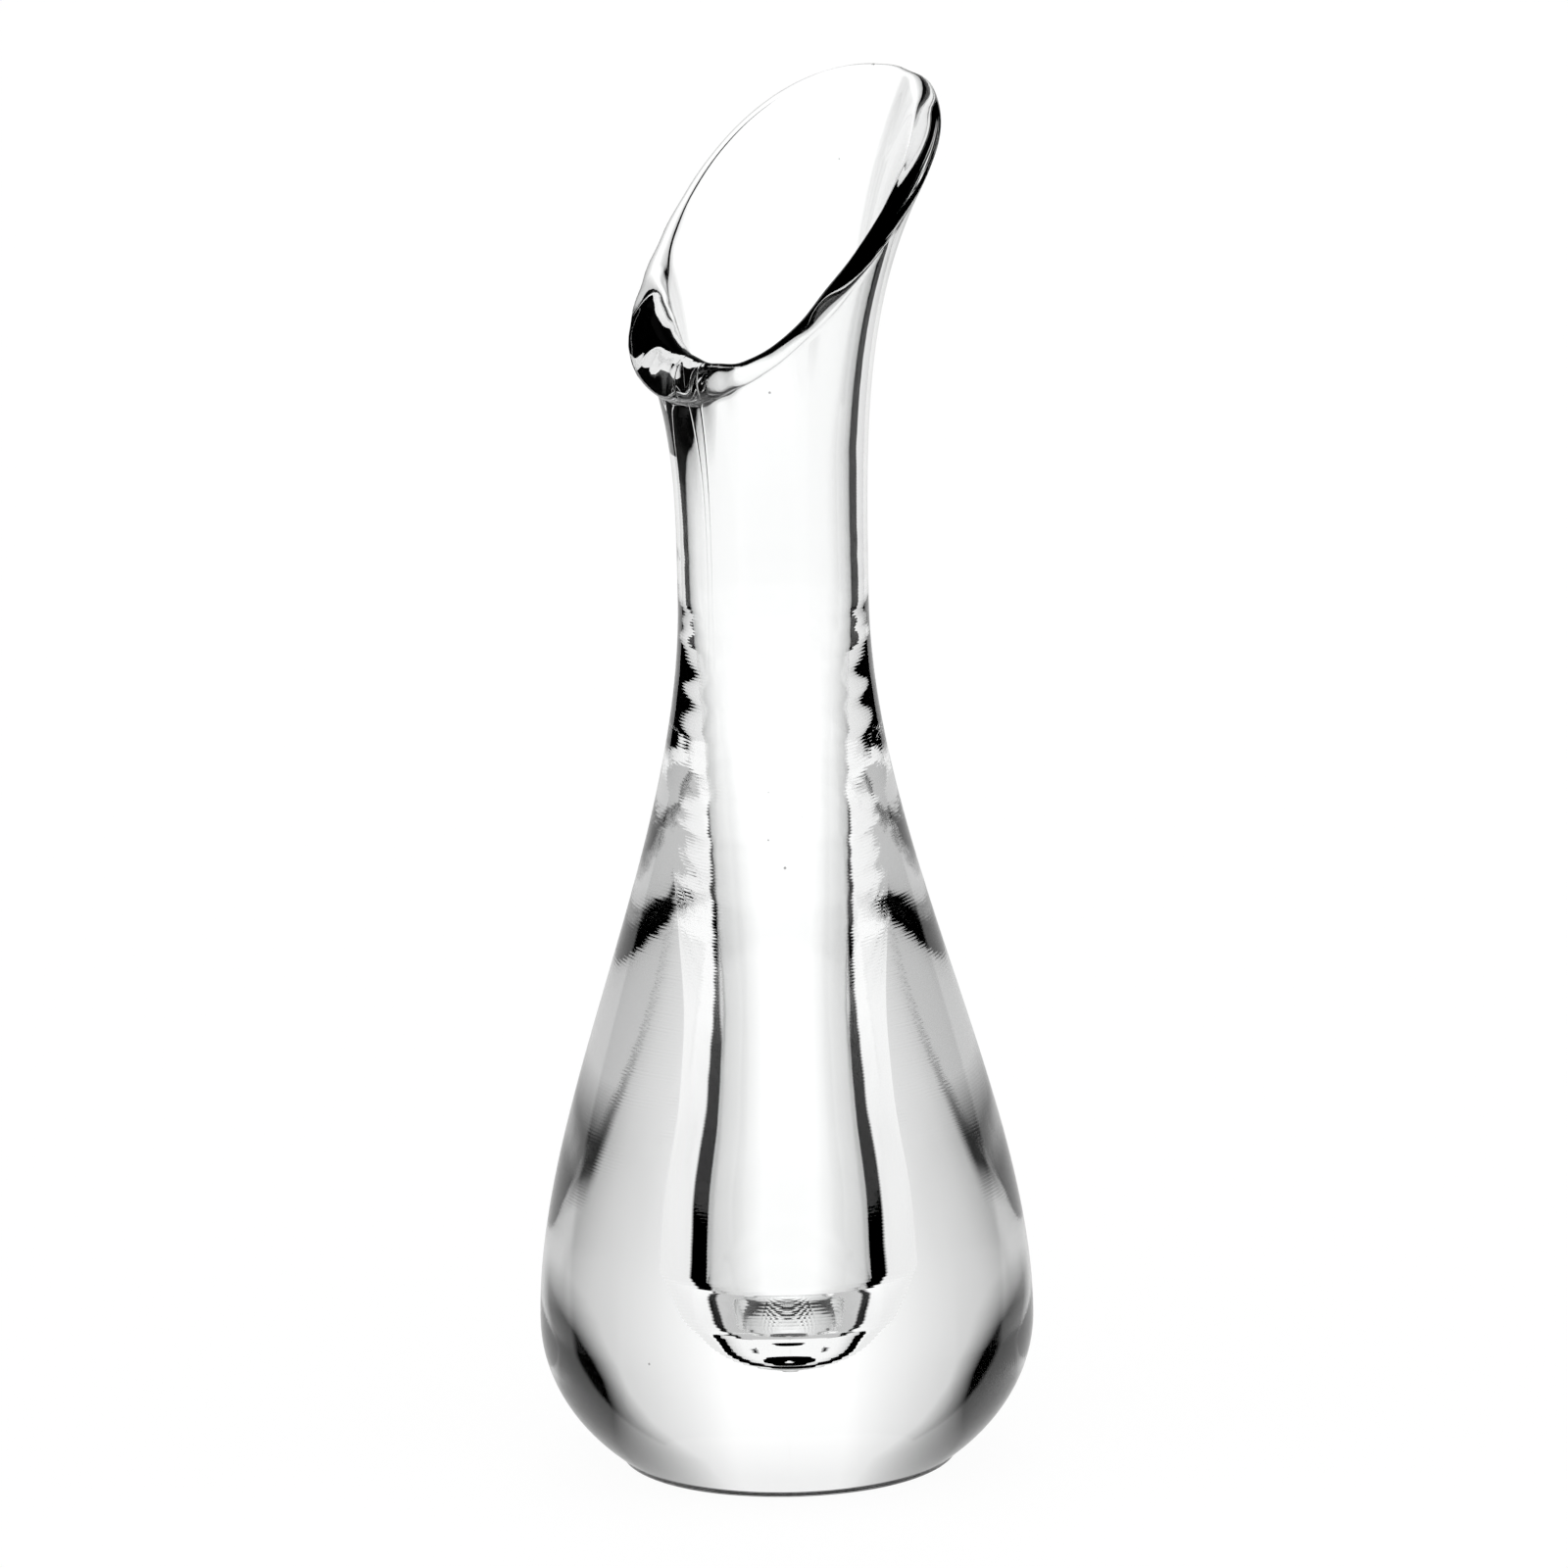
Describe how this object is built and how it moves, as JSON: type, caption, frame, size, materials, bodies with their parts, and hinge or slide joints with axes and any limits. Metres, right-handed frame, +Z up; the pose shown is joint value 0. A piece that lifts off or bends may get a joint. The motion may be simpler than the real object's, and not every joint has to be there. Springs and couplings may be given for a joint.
{
  "type": "bud vase",
  "caption": "Clear thick-walled bud vase: solid teardrop base, slim neck, slant-cut mouth with a rounded out-turned lip, deep narrow bore.",
  "frame": {"origin": "centre of the flat foot, on the axis of the bore", "axes": "+Z up along the bore; the low side of the slant lip faces -Y (front) and its high side +Y (back); +X is to the right seen from the front"},
  "size_m": [0.089, 0.089, 0.2502],
  "materials": {
    "clear_glass": "clear, colourless, fire-polished gloss"
  },
  "bodies": {
    "root": {"vase_body": "clear_glass"}
  },
  "joints": []
}
